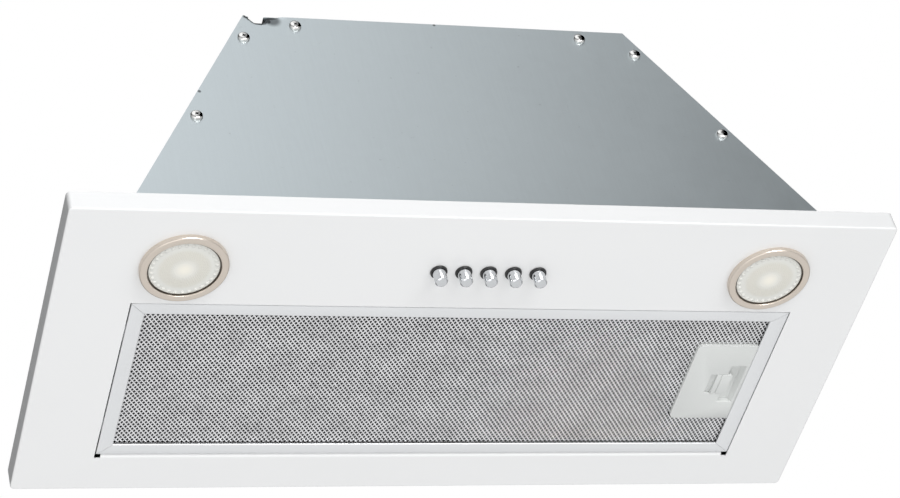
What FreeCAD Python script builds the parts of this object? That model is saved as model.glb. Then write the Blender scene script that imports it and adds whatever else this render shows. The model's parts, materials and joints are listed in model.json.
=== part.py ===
import FreeCAD, Part
import math
import os

# Under cabinet range hood with a flat face panel, a tapered sheet casing and one radial fan.
# Everything is drawn with z = 0 on the underside of the face panel and then lowered, so that
# the saved frame has its origin on the casing's top sheet, in the middle of the four fixing holes.

V = FreeCAD.Vector

os.makedirs("parts", exist_ok=True)

# ---------------------------------------------------------------- driving dimensions, mm
panel_width = 520.0
panel_depth = 245.0
panel_lip = 13.8
sheet = 0.8

casing_height = 187.0
casing_depth = 221.8
casing_foot = 230.4
casing_head = 127.0
flange_width = 14.0

opening_x = 212.2
opening_front = -45.6
opening_rear = 93.4

lamp_x = 186.0
lamp_y = -77.2
lamp_hole_r = 24.0
bezel_r = 26.5
bezel_low = -3.4
lens_r = 21.7
flange_gap = 4.0
flange_height = 6.5
bend_depth = 3.0

button_x = 1.5
button_pitch = 15.8
button_y = -76.8
button_hole_r = 5.0
cap_r = 4.0
cap_low = -9.8
collar_bore_r = 4.15
collar_r = 5.3

frame_left = -211.4
frame_right = 211.95
frame_front = -44.7
frame_rear = 90.0
frame_low = 0.3
frame_high = 10.0
frame_rim = 8.8
frame_left_rim = 9.3
frame_right_rim = 10.5

latch_left = 160.0
latch_right = 201.6
latch_front = -12.8
latch_rear = 56.2

fan_x = -52.0
fan_z = 110.0
fan_r = 58.0
fan_half_width = 46.0
blade_count = 32
scroll_start_r = 68.0
scroll_end_r = 108.0
scroll_start = 75.0
scroll_wall = 2.0
scroll_half = 57.0
throat_left = -34.0
inlet_r = 46.0

duct_r = 60.0
spigot_wall = 2.0
spigot_height = 38.0
spigot_plate = 75.0
flap_z = casing_height + 9.5
flap_r = 57.3
flap_pin_r = 1.5

fixing_x = 100.0
fixing_y = 70.0
fixing_hole_r = 2.75

sheet_screws = [(94.8, 178.8), (129.9, 165.9), (170.6, 93.0)]
sheet_hole_r = 1.75
spigot_screw_at = 66.0
motor_screw_circle = 52.0
motor_screw_angles = (90.0, 210.0, 330.0)
notch_mouth = (-124.0, -113.0)
notch_foot = (-121.5, -116.4)
notch_floor = casing_height - 6.1

half_depth = casing_depth / 2.0
taper = (casing_foot - casing_head) / casing_height


# ---------------------------------------------------------------- helpers
def box(x0, x1, y0, y1, z0, z1):
    return Part.makeBox(x1 - x0, y1 - y0, z1 - z0, V(x0, y0, z0))


def rod_x(x0, x1, y, z, r):
    return Part.makeCylinder(r, x1 - x0, V(x0, y, z), V(1, 0, 0))


def rod_y(x, y0, y1, z, r):
    return Part.makeCylinder(r, y1 - y0, V(x, y0, z), V(0, 1, 0))


def rod_z(x, y, z0, z1, r):
    return Part.makeCylinder(r, z1 - z0, V(x, y, z0), V(0, 0, 1))


def ring_z(x, y, z0, z1, r_out, r_in):
    return rod_z(x, y, z0, z1, r_out).cut(rod_z(x, y, z0 - 1, z1 + 1, r_in))


def slab_xz(points, y0, y1):
    """A plate drawn as a polygon in the XZ plane and thickened along Y."""
    loop = [V(x, y0, z) for x, z in points]
    face = Part.Face(Part.makePolygon(loop + [loop[0]]))
    return face.extrude(V(0, y1 - y0, 0))


def slab_xy(points, z0, z1):
    """A plate drawn as a polygon in the XY plane and thickened along Z."""
    loop = [V(x, y, z0) for x, y in points]
    face = Part.Face(Part.makePolygon(loop + [loop[0]]))
    return face.extrude(V(0, 0, z1 - z0))


def turned(profile, x=0.0, y=0.0):
    """A solid of revolution about a vertical axis through x, y from (radius, z) points."""
    loop = [V(r, 0, z) for r, z in profile]
    face = Part.Face(Part.makePolygon(loop + [loop[0]]))
    solid = face.revolve(V(0, 0, 0), V(0, 0, 1), 360)
    solid.translate(V(x, y, 0))
    return solid


def joined(shapes):
    shape = shapes[0]
    if len(shapes) > 1:
        shape = shape.fuse(shapes[1:])
    return shape.removeSplitter()


def carved(shape, tools):
    for tool in tools:
        shape = shape.cut(tool)
    return shape


def rounded_box(x0, x1, y0, y1, z0, z1, r):
    """A box whose four upright edges are rounded."""
    solid = box(x0, x1, y0, y1, z0, z1)
    upright = [e for e in solid.Edges if abs(e.Vertexes[0].Z - e.Vertexes[1].Z) > 0.01]
    return solid.makeFillet(r, upright)


def mirrored(shape):
    return shape.mirror(V(0, 0, 0), V(1, 0, 0))


def save(name, solids):
    """Lower the solids into the saved frame and write them as one STEP file."""
    plain = []
    for item in solids:
        moved = item.copy()
        moved.translate(V(0, 0, -casing_height))
        plain.extend(moved.Solids)
    for solid in plain:
        if not solid.isValid() or not solid.isClosed():
            raise ValueError("bad solid in " + name)
    shape = plain[0] if len(plain) == 1 else Part.makeCompound(plain)
    shape.exportStep("parts/" + name + ".step")


def casing_edge(z):
    """Half width of the casing's outer face at height z."""
    return casing_foot - taper * z


def pan_screw(head_r, head_h, shank_r, shank_l):
    """Pan head screw with a cross recess, head up, seat at z = 0."""
    profile = [(0, -shank_l), (shank_r, -shank_l + 0.8), (shank_r, 0), (head_r, 0)]
    profile += [(head_r, head_h * 0.45), (head_r * 0.86, head_h * 0.8)]
    profile += [(head_r * 0.55, head_h), (0, head_h)]
    body = turned(profile)
    deep = head_h * 0.55
    slot = head_r * 0.62
    cross = box(-slot, slot, -0.45, 0.45, head_h - deep, head_h + 1)
    cross = cross.fuse(box(-0.45, 0.45, -slot, slot, head_h - deep, head_h + 1))
    return body.cut(cross)


def placed_screw(screw, x, y, z, axis):
    """Copy a screw so that its head points along axis and its seat lies on x, y, z."""
    copy = screw.copy()
    copy.Placement = FreeCAD.Placement(V(x, y, z), FreeCAD.Rotation(V(0, 0, 1), V(*axis)))
    return copy


def wire(points, r):
    """A round lead that runs through the given points."""
    parts = []
    for a, b in zip(points[:-1], points[1:]):
        start = V(*a)
        run = V(*b).sub(start)
        parts.append(Part.makeCylinder(r, run.Length, start, run))
    for point in points[1:-1]:
        parts.append(Part.makeSphere(r, V(*point)))
    return joined(parts)


def coil(r, wire_r, pitch, length, start, axis):
    """A helical spring of round wire that begins at start and runs along axis."""
    helix = Part.makeHelix(pitch, length, r)
    profile = Part.Wire([Part.makeCircle(wire_r, V(r, 0, 0), V(0, 1, 0))])
    spring = Part.Wire(helix).makePipeShell([profile], True, True)
    turn = FreeCAD.Rotation(V(0, 0, 1), V(*axis))
    spring.Placement = FreeCAD.Placement(V(*start), turn)
    return spring


# ---------------------------------------------------------------- face panel
def rear_bend(reach):
    """The rear edge of the filter opening, rolled up with a soft radius."""
    nose = opening_rear - bend_depth
    outer = box(-reach, reach, nose, opening_rear + sheet, 0, flange_height)
    inner = box(-reach - 1, reach + 1, nose + sheet, opening_rear + 2, sheet, flange_height + 1)
    rounded = []
    for solid, y, z, r in ((outer, nose, 0, bend_depth - 0.2), (inner, nose + sheet, sheet, 2.0)):
        low = [e for e in solid.Edges
               if max(abs(v.Y - y) + abs(v.Z - z) for v in e.Vertexes) < 0.01]
        rounded.append(solid.makeFillet(r, low))
    return rounded[0].cut(rounded[1])


def make_face_panel():
    """One pressed sheet: flat face, four upturned lips, openings for filter, lamps, buttons."""
    half_w = panel_width / 2.0
    half_d = panel_depth / 2.0
    outer = rounded_box(-half_w, half_w, -half_d, half_d, 0, panel_lip, 3.0)
    low = [e for e in outer.Edges if max(v.Z for v in e.Vertexes) < 0.01]
    outer = outer.makeFillet(1.0, low)
    inner = rounded_box(-half_w + sheet, half_w - sheet, -half_d + sheet, half_d - sheet,
                        sheet, panel_lip + 5, 2.2)
    panel = outer.cut(inner)
    panel = panel.cut(box(-opening_x, opening_x, opening_front, opening_rear, -1, 5))
    reach = opening_x - flange_gap
    strip = box(-reach, reach, opening_front - sheet, opening_front, 0, flange_height)
    panel = joined([panel, strip, rear_bend(reach)])
    for side in (-1, 1):
        panel = panel.cut(rod_z(side * lamp_x, lamp_y, -1, 3, lamp_hole_r))
    for step in range(-2, 3):
        panel = panel.cut(rod_z(button_x + step * button_pitch, button_y, -1, 3, button_hole_r))
    return panel


save("face_panel", [make_face_panel()])

# strips that carry the filter on the back of the panel
save("left_filter_ledge", [box(-218.8, -214.4, -38, 86, sheet, 2.1)])
save("right_filter_catch", [box(212.6, 218.8, 10, 36, sheet, 4.9)])


# ---------------------------------------------------------------- casing
def end_sheet(y0, y1, flange_y0, flange_y1):
    """Flat trapezoid end of the casing with a foot flange turned inwards."""
    low = sheet
    points = [(-casing_edge(low), low), (casing_edge(low), low),
              (casing_head, casing_height), (-casing_head, casing_height)]
    plate = slab_xz(points, y0, y1)
    foot = box(-150, 150, flange_y0, flange_y1, low, low + sheet)
    plate = joined([plate, foot])
    for x, z in sheet_screws:
        for side in (-1, 1):
            plate = plate.cut(rod_y(side * x, y0 - 1, y1 + 1, z, sheet_hole_r))
    return plate


notch = slab_xz([(notch_mouth[0], casing_height + 1), (notch_foot[0], notch_floor),
                 (notch_foot[1], notch_floor), (notch_mouth[1], casing_height + 1)],
                -half_depth - 1, -half_depth + 9)
front_sheet = end_sheet(-half_depth, -half_depth + sheet, -half_depth + sheet, -half_depth + 11)
front_sheet = front_sheet.cut(notch)
save("front_sheet", [front_sheet])
rear_sheet = end_sheet(half_depth - sheet, half_depth, half_depth - 11, half_depth - sheet)
save("rear_sheet", [rear_sheet])


def side_sheet(side):
    """Sloping side with front and rear flanges and a foot that lies on the panel."""
    low = sheet
    high = casing_height - sheet
    across = sheet * math.sqrt(1 + taper * taper)
    wide = flange_width * math.sqrt(1 + taper * taper)
    near = -half_depth + sheet
    far = half_depth - sheet
    skin = [(casing_edge(low), low), (casing_edge(high), high),
            (casing_edge(high) - across, high), (casing_edge(low) - across, low)]
    strip = [(casing_edge(low), low), (casing_edge(high), high),
             (casing_edge(high) - wide, high), (casing_edge(low) - wide, low)]
    parts = [slab_xz(skin, near, far),
             slab_xz(strip, near, near + sheet),
             slab_xz(strip, far - sheet, far),
             box(219, casing_edge(low + sheet) - 0.1, near, far, low, low + sheet)]
    plate = joined(parts)
    for x, z in sheet_screws[1:]:
        plate = plate.cut(rod_y(x, near - 1, near + 3, z, sheet_hole_r))
        plate = plate.cut(rod_y(x, far - 3, far + 1, z, sheet_hole_r))
    if side < 0:
        plate = mirrored(plate)
        plate = plate.cut(box(notch_mouth[0] - 4, notch_mouth[1] + 4, near - 1, near + 3, 176, 190))
    return plate


save("left_side_sheet", [side_sheet(-1)])
save("right_side_sheet", [side_sheet(1)])


def make_top_sheet():
    """Flat top with the duct hole, four fixing holes and two turned down flanges."""
    top = casing_height
    near = -half_depth + sheet
    far = half_depth - sheet
    parts = [box(-casing_head, casing_head, near, far, top - sheet, top),
             box(-105, 105, near, near + sheet, top - 15, top - sheet),
             box(-105, 105, far - sheet, far, top - 15, top - sheet)]
    plate = joined(parts)
    plate = plate.cut(rod_z(0, 0, top - 5, top + 5, duct_r - 3))
    plate = plate.cut(notch)
    for sx in (-1, 1):
        for sy in (-1, 1):
            hole = rod_z(sx * fixing_x, sy * fixing_y, top - 5, top + 5, fixing_hole_r)
            plate = plate.cut(hole)
            plate = plate.cut(rod_z(sx * spigot_screw_at, sy * spigot_screw_at, top - 5, top + 5, 1.3))
        x = sx * sheet_screws[0][0]
        z = sheet_screws[0][1]
        plate = plate.cut(rod_y(x, near - 1, near + 3, z, sheet_hole_r))
        plate = plate.cut(rod_y(x, far - 3, far + 1, z, sheet_hole_r))
    return plate


save("top_sheet", [make_top_sheet()])

sheet_screw = pan_screw(3.9, 2.5, 1.65, 7.0)
front_screws = []
rear_screws = []
for x, z in sheet_screws:
    for side in (-1, 1):
        front_screws.append(placed_screw(sheet_screw, side * x, -half_depth, z, (0, -1, 0)))
        rear_screws.append(placed_screw(sheet_screw, side * x, half_depth, z, (0, 1, 0)))
save("front_sheet_screws", front_screws)
save("rear_sheet_screws", rear_screws)


# ---------------------------------------------------------------- duct outlet and damper
def make_spigot():
    """Round collar on a square plate, with seats for the flap pin and two flap stops."""
    low = casing_height
    inner_r = duct_r - spigot_wall
    plate = rounded_box(-spigot_plate, spigot_plate, -spigot_plate, spigot_plate, low, low + 2, 6)
    collar = rod_z(0, 0, low, low + spigot_height, duct_r)
    stops = []
    for side in (-1, 1):
        stops.append(box(min(side * 55, side * 59), max(side * 55, side * 59), -6, 6,
                         flap_z - 3, flap_z - 0.9))
    body = joined([plate, collar])
    body = body.cut(rod_z(0, 0, low - 1, low + spigot_height + 1, inner_r))
    body = joined([body] + stops)
    body = body.cut(rod_y(0, -duct_r - 2, duct_r + 2, flap_z, flap_pin_r + 0.02))
    for sx in (-1, 1):
        for sy in (-1, 1):
            body = body.cut(rod_z(sx * spigot_screw_at, sy * spigot_screw_at, low - 1, low + 5, 2.0))
    return body


def make_flap(side):
    """Half disc that lifts with the air, with knuckles round the pin."""
    starts = (-44.0, 6.0) if side > 0 else (-19.0, 31.0)
    disc = rod_z(0, 0, flap_z - 0.6, flap_z + 0.6, flap_r)
    keep = box(3.3, 70, -70, 70, flap_z - 2, flap_z + 2)
    flap = disc.common(keep)
    parts = [flap]
    for y in starts:
        parts.append(rod_y(0, y, y + 12, flap_z, 2.8))
        parts.append(box(0, 4.5, y, y + 12, flap_z - 0.6, flap_z + 0.6))
    flap = joined(parts)
    flap = flap.cut(rod_y(0, -60, 60, flap_z, flap_pin_r + 0.06))
    if side < 0:
        flap = mirrored(flap)
    return flap


save("outlet_spigot", [make_spigot()])
save("flap_pin", [rod_y(0, -duct_r + 0.3, duct_r - 0.3, flap_z, flap_pin_r)])
save("left_flap", [make_flap(-1)])
save("right_flap", [make_flap(1)])
spigot_screw = pan_screw(3.4, 2.2, 1.25, 7.0)
spigot_screws = []
for sx in (-1, 1):
    for sy in (-1, 1):
        spigot_screws.append(placed_screw(spigot_screw, sx * spigot_screw_at, sy * spigot_screw_at,
                                          casing_height + 2, (0, 0, 1)))
save("spigot_screws", spigot_screws)


# ---------------------------------------------------------------- fan scroll
def scroll_outline(grow):
    """Closed outline of the scroll in XZ, enlarged outwards by grow."""
    top = casing_height - 2.8
    points = []
    steps = 40
    for k in range(steps + 1):
        turn = scroll_start + (360.0 - scroll_start) * k / steps
        share = k / float(steps)
        r = scroll_start_r + share * (scroll_end_r - scroll_start_r) + grow
        angle = math.radians(turn)
        points.append((fan_x + r * math.cos(angle), fan_z + r * math.sin(angle)))
    points.append((fan_x + scroll_end_r + grow, top))
    points.append((throat_left - grow, top))
    return points


ear_angles = (140.0, 205.0, 300.0)
ear_places = []
for ear_angle in ear_angles:
    share = (ear_angle - scroll_start) / (360.0 - scroll_start)
    ear_r = scroll_start_r + share * (scroll_end_r - scroll_start_r) + 5.0
    ear_places.append((fan_x + ear_r * math.cos(math.radians(ear_angle)),
                       fan_z + ear_r * math.sin(math.radians(ear_angle))))
ear_places.append((fan_x + scroll_end_r + 5.0, 150.0))


def scroll_half_shell(side):
    """Front (side -1) or rear (side +1) half of the plastic scroll, split at y = 0."""
    top = casing_height - 2.8
    outer = slab_xz(scroll_outline(scroll_wall), 0, scroll_half)
    flange = box(-66, 66, 0, 62, top, casing_height - sheet)
    ears = []
    for x, z in ear_places:
        ears.append(rod_y(x, 0, 4, z, 5.0))
    lip = rod_y(fan_x, scroll_half, scroll_half + 2, fan_z, inlet_r + 3)
    shell = joined([outer, flange, lip] + ears)
    shell = shell.cut(slab_xz(scroll_outline(0), -1, scroll_half - scroll_wall))
    shell = shell.cut(rod_y(fan_x, scroll_half - 5, scroll_half + 5, fan_z, inlet_r))
    throat = box(throat_left, fan_x + scroll_end_r, -1, scroll_half - scroll_wall,
                 top - 3, casing_height + 1)
    shell = shell.cut(throat)
    for x, z in ear_places:
        shell = shell.cut(rod_y(x, -1, 6, z, 1.6))
    if side > 0:
        for turn in motor_screw_angles:
            x = fan_x + motor_screw_circle * math.cos(math.radians(turn))
            z = fan_z + motor_screw_circle * math.sin(math.radians(turn))
            shell = shell.cut(rod_y(x, scroll_half - 5, scroll_half + 5, z, 1.6))
    else:
        shell = shell.mirror(V(0, 0, 0), V(0, 1, 0))
    return shell


save("scroll_front_half", [scroll_half_shell(-1)])
save("scroll_rear_half", [scroll_half_shell(1)])
ear_screw = pan_screw(2.9, 2.0, 1.5, 8.0)
save("scroll_screws", [placed_screw(ear_screw, x, -4, z, (0, -1, 0)) for x, z in ear_places])


# ---------------------------------------------------------------- impeller and motor
def make_impeller():
    """Drum of forward curved blades on a middle disc, open at both ends."""
    parts = [rod_y(fan_x, -1, 1, fan_z, fan_r - 0.5), rod_y(fan_x, -12, 12, fan_z, 9)]
    for y in (-fan_half_width, fan_half_width - 2):
        rim = rod_y(fan_x, y, y + 2, fan_z, fan_r)
        parts.append(rim.cut(rod_y(fan_x, y - 1, y + 3, fan_z, fan_r - 10)))
    for k in range(blade_count):
        turn = 2 * math.pi * k / blade_count
        outline = []
        for r, lead in ((fan_r - 10, 0.0), (fan_r - 5, 0.020), (fan_r - 0.3, 0.075)):
            outline.append((r, turn + lead))
        for r, lead in ((fan_r - 0.3, 0.093), (fan_r - 5, 0.040), (fan_r - 10, 0.022)):
            outline.append((r, turn + lead))
        points = [(fan_x + r * math.cos(a), fan_z + r * math.sin(a)) for r, a in outline]
        parts.append(slab_xz(points, -fan_half_width + 1, fan_half_width - 1))
    drum = joined(parts)
    return drum.cut(rod_y(fan_x, -20, 20, fan_z, 4.0))


save("impeller", [make_impeller()])
save("motor_shaft", [rod_y(fan_x, -12, 64, fan_z, 4.0)])

motor_front = 64.0
motor_rear = 98.0
motor_r = 36.0
can = rod_y(fan_x, motor_front, motor_rear, fan_z, motor_r)
can = can.makeChamfer(3.0, [e for e in can.Edges if abs(e.Length - 2 * math.pi * motor_r) < 0.1])
save("motor_body", [can])

arm_rear = scroll_half + scroll_wall
plate_front = arm_rear + 2.0
arms = [rod_y(fan_x, plate_front, motor_front, fan_z, 30)]
for turn in motor_screw_angles:
    arm = box(0, motor_screw_circle + 6, plate_front, motor_front, -6, 6)
    foot = box(motor_screw_circle - 5.5, motor_screw_circle + 6, arm_rear, plate_front, -6, 6)
    spoke = joined([arm, foot])
    spoke.rotate(V(0, 0, 0), V(0, 1, 0), -turn)
    spoke.translate(V(fan_x, 0, fan_z))
    arms.append(spoke)
bracket = joined(arms)
bracket = bracket.cut(rod_y(fan_x, arm_rear - 4, motor_front + 6, fan_z, 6.0))
motor_screws = []
motor_screw = pan_screw(3.2, 2.2, 1.5, 9.0)
for turn in motor_screw_angles:
    x = fan_x + motor_screw_circle * math.cos(math.radians(turn))
    z = fan_z + motor_screw_circle * math.sin(math.radians(turn))
    bracket = bracket.cut(rod_y(x, arm_rear - 4, motor_front + 6, z, 1.7))
    motor_screws.append(placed_screw(motor_screw, x, motor_front, z, (0, 1, 0)))
save("motor_bracket", [bracket])
save("motor_screws", motor_screws)

# run capacitor, lying along X in a clamp on the rear sheet
can_y = 90.0
can_z = 62.0
can_r = 13.0
rear_inner = half_depth - sheet
capacitor = rod_x(88, 136, can_y, can_z, can_r)
ends = [e for e in capacitor.Edges if abs(e.Length - 2 * math.pi * can_r) < 0.1]
save("capacitor", [capacitor.makeChamfer(1.5, ends)])
clamp_r = can_r + 1.4
clamp = rod_x(106, 118, can_y, can_z, clamp_r)
clamp = clamp.fuse(box(106, 118, can_y, rear_inner, can_z - clamp_r, can_z + clamp_r))
clamp = clamp.cut(rod_x(100, 124, can_y, can_z, can_r + 0.1))
clamp = clamp.fuse(box(106, 118, rear_inner - 1.2, rear_inner, can_z + clamp_r, can_z + 28))
save("capacitor_clamp", [clamp.removeSplitter()])

# ---------------------------------------------------------------- terminal box and leads
box_left = 20.0
box_right = 94.0
box_low = 128.0
box_high = 170.0
box_front = -108.0
box_rear = -64.0
box_wall = 2.0
cable_y = -84.0
cable_z = 156.0
cable_bore_r = 3.6
inner_left = box_left + box_wall
inner_right = box_right - box_wall
shell = box(box_left, box_right, -half_depth + sheet, box_rear, box_low, box_high)
shell = shell.cut(box(inner_left, inner_right, box_front, box_rear + 1,
                      box_low + box_wall, box_high - box_wall))
shell = shell.cut(rod_x(box_left - 1, box_left + 4, cable_y, cable_z, 6.5))
shell = shell.cut(rod_z(60, cable_y, box_low - 1, box_low + 4, 9.0))
save("terminal_box", [shell])
lid = box(box_left, box_right, box_rear, box_rear + 2, box_low, box_high)
for rib_low in (box_low + 2.2, box_high - 4):
    lid = lid.fuse(box(inner_left + 0.2, inner_right - 0.2, box_rear - 2, box_rear,
                       rib_low, rib_low + 1.8))
save("terminal_box_lid", [lid.removeSplitter()])

block = box(38, 78, -108, -92, 146, 160)
for k in range(5):
    block = block.cut(rod_y(42 + 8 * k, -99, -91, 156, 2.0))
    block = block.cut(rod_z(42 + 8 * k, -97, 145, 150, 1.6))
save("terminal_block", [block])

gland = joined([rod_x(box_left - 4, box_left, cable_y, cable_z, 9.0),
                rod_x(box_left, box_left + 5, cable_y, cable_z, 6.3)])
gland = gland.cut(rod_x(box_left - 10, box_left + 10, cable_y, cable_z, cable_bore_r))
save("cable_gland", [gland])

leads = [wire([(60, -84, 142), (60, -84, 112), (60, -100, 100), (60, -100, 36), (36, -88, 33),
               (36, -80, 33)], 1.8),
         wire([(56, -80, 142), (56, -80, 118), (84, -80, 100), (150, -80, 42), (lamp_x, lamp_y, 36)], 1.5),
         wire([(64, -88, 142), (64, -88, 104), (70, -100, 60), (30, -100, 44), (-150, -100, 44),
               (-lamp_x, -82, 38), (-lamp_x, lamp_y, 36)], 1.5),
         wire([(64, -80, 142), (64, -80, 112), (76, -30, 90), (76, 60, 84), (60, 86, 90),
               (-10, 86, 100)], 1.8),
         wire([(76, 72, 86), (84, 84, 70), (86, 90, 62)], 1.4)]
save("wiring_leads", leads)


# ---------------------------------------------------------------- switch block
housing_long = 44.0
housing_wide = 14.0
housing_top = 31.0
housing_wall = 2.0
hollow_long = housing_long - housing_wall
hollow_wide = housing_wide - housing_wall
hollow_top = housing_top - housing_wall
housing = box(button_x - housing_long, button_x + housing_long,
              button_y - housing_wide, button_y + housing_wide, sheet, housing_top)
housing = housing.cut(box(button_x - hollow_long, button_x + hollow_long,
                          button_y - hollow_wide, button_y + hollow_wide, sheet - 1, hollow_top))
for step in range(-1, 3):
    x = button_x + (step - 0.5) * button_pitch
    housing = housing.fuse(box(x - 0.6, x + 0.6, button_y - hollow_wide, button_y + hollow_wide,
                               14, hollow_top))
save("switch_housing", [housing.removeSplitter()])

collar_profile = [(collar_bore_r, -1.3), (collar_r - 0.4, -1.3), (collar_r, -0.9), (collar_r, 0.0),
                  (4.95, 0.0), (4.95, 7.5), (collar_bore_r, 7.5)]
cap_profile = [(0, cap_low), (cap_r - 1.0, cap_low), (cap_r, cap_low + 1.0), (cap_r, 7.8),
               (5.3, 7.8), (5.3, 9.3), (1.5, 9.3), (1.5, 23.5), (0, 23.5)]
collars = []
springs = []
button_names = ("light_button", "stop_button", "low_speed_button", "medium_speed_button",
                "high_speed_button")
for step, name in zip(range(-2, 3), button_names):
    x = button_x + step * button_pitch
    collars.append(turned(collar_profile, x, button_y))
    save(name, [turned(cap_profile, x, button_y)])
    springs.append(coil(2.6, 0.35, 3.6, 18.0, (x, button_y, 10.2), (0, 0, 1)))
save("button_collars", collars)
save("button_springs", springs)


# ---------------------------------------------------------------- lamps
def lamp_parts(x):
    """Bezel, lens, body and clips of one round lamp at x."""
    y = lamp_y
    bezel = turned([(21.9, -3.0), (22.3, bezel_low), (25.4, bezel_low), (26.1, -3.0),
                    (bezel_r, -2.0), (bezel_r, 0.0), (23.6, 0.0), (23.6, 6.0), (22.4, 6.0),
                    (22.4, -1.0), (21.9, -1.0)], x, y)
    lens = turned([(0, -3.0), (12, -2.8), (18, -2.4), (lens_r, -2.0), (lens_r, -0.9),
                   (22.3, -0.9), (22.3, 0.2), (0, 0.2)], x, y)
    body = turned([(0, 32.0), (18.0, 32.0), (22.0, 27.0), (22.0, 0.4), (20.4, 0.4),
                   (20.4, 26.2), (17.4, 30.2), (0, 30.2)], x, y)
    body = body.cut(rod_z(x, y, 29, 34, 1.8))
    clips = []
    for side in (-1, 1):
        arm = [(23.7, 1.4), (24.3, 1.4), (27.6, 4.6), (24.6, 11.5), (23.7, 11.5), (23.7, 10.9),
               (24.1, 10.9), (26.9, 4.7), (23.7, 2.0)]
        outline = [(x + side * px, pz) for px, pz in arm]
        clips.append(slab_xz(outline, y - 5, y + 5))
    return bezel, lens, body, clips


for side, word in ((-1, "left"), (1, "right")):
    bezel, lens, body, clips = lamp_parts(side * lamp_x)
    save(word + "_lamp_bezel", [bezel])
    save(word + "_lamp_lens", [lens])
    save(word + "_lamp_body", [body])
    save(word + "_lamp_clips", clips)


# ---------------------------------------------------------------- grease filter
def frame_side(name):
    """One mitred channel of the filter frame."""
    x0 = frame_left
    x1 = frame_right
    y0 = frame_front
    y1 = frame_rear
    inner_x0 = x0 + frame_left_rim
    inner_x1 = x1 - frame_right_rim
    inner_y0 = y0 + frame_rim
    inner_y1 = y1 - frame_rim
    corners = {"front": [(x0, y0), (x1, y0), (inner_x1, inner_y0), (inner_x0, inner_y0)],
               "rear": [(x0, y1), (x1, y1), (inner_x1, inner_y1), (inner_x0, inner_y1)],
               "left": [(x0, y0), (x0, y1), (inner_x0, inner_y1), (inner_x0, inner_y0)],
               "right": [(x1, y0), (x1, y1), (inner_x1, inner_y1), (inner_x1, inner_y0)]}
    blank = slab_xy(corners[name], frame_low, frame_high)
    groove = box(x0 + 1, x1 - 1, y0 + 1, y1 - 1, frame_low + 1, frame_high - 1)
    return blank.cut(groove)


for name in ("front", "rear"):
    save("filter_" + name + "_rail", [frame_side(name)])
left_rail = frame_side("left")
for y in (-24.0, 58.0):
    left_rail = left_rail.fuse(box(-221.0, frame_left + 0.6, y, y + 13, 2.4, 3.4))
save("filter_left_rail", [left_rail.removeSplitter()])
right_rail = frame_side("right")
right_rail = right_rail.cut(box(frame_right - 2, frame_right + 1, 17.0, 28.0, 5.2, 7.3))
save("filter_right_rail", [right_rail])

latch_gap = box(latch_left - 0.2, 220, latch_front - 0.2, latch_rear + 0.2, -5, 15)


def filter_layer(z0, z1):
    """One layer of the filter pack, cut away round the latch."""
    layer = box(frame_left + 1.3, frame_right - 1.3, frame_front + 1.3, frame_rear - 1.3, z0, z1)
    return layer.cut(latch_gap)


save("filter_face_mesh", [filter_layer(2.1, 2.6)])
save("filter_core_mesh", [filter_layer(3.0, 7.8)])
save("filter_back_mesh", [filter_layer(8.2, 8.7)])

# latch: a plastic plate with a finger well, a sliding bolt and its return spring
plate = box(latch_left, latch_right, latch_front, latch_rear, 0.6, 8.8)
corner_edges = []
for edge in plate.Edges:
    upright = abs(edge.Vertexes[0].Z - edge.Vertexes[1].Z) > 0.01
    if upright and abs(edge.Vertexes[0].X - latch_left) < 0.01:
        corner_edges.append(edge)
plate = plate.makeFillet(4.0, corner_edges)
channel = box(173.0, 188.6, 14.2, 31.8, 1.8, 7.6)
mouth = box(177.0, 188.6, 14.2, 31.8, -1, 1.9)
well = slab_xz([(188.4, -1), (200.2, -1), (197.0, 4.4), (188.4, 4.4)], 6, 40.5)
tongue_way = box(188.4, 210, 17.3, 27.7, 5.2, 7.6)
spring_way = box(164, 173.2, 20.2, 25.4, 3.0, 7.6)
rail_step = box(latch_right - 0.4, 210, latch_front - 1, latch_rear + 1, -1, 2.2)
save("latch_plate", [carved(plate, [channel, mouth, well, tongue_way, spring_way, rail_step])])

tab = rounded_box(181.2, 191.9, 14.4, 31.6, 0.2, 1.7, 1.2)
bolt = joined([box(177.4, 188.2, 14.4, 31.6, 2.2, 5.3), box(177.4, 211.6, 17.6, 27.4, 5.3, 7.2),
               box(181.2, 188.2, 14.4, 31.6, 1.2, 2.2), tab])
bolt = bolt.cut(box(184.0, 184.9, 14, 32, 0, 0.7))
save("latch_bolt", [bolt])
save("latch_spring", [coil(1.7, 0.3, 2.6, 12.6, (164.4, 22.8, 5.3), (1, 0, 0))])
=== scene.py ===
import json
import math

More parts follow.
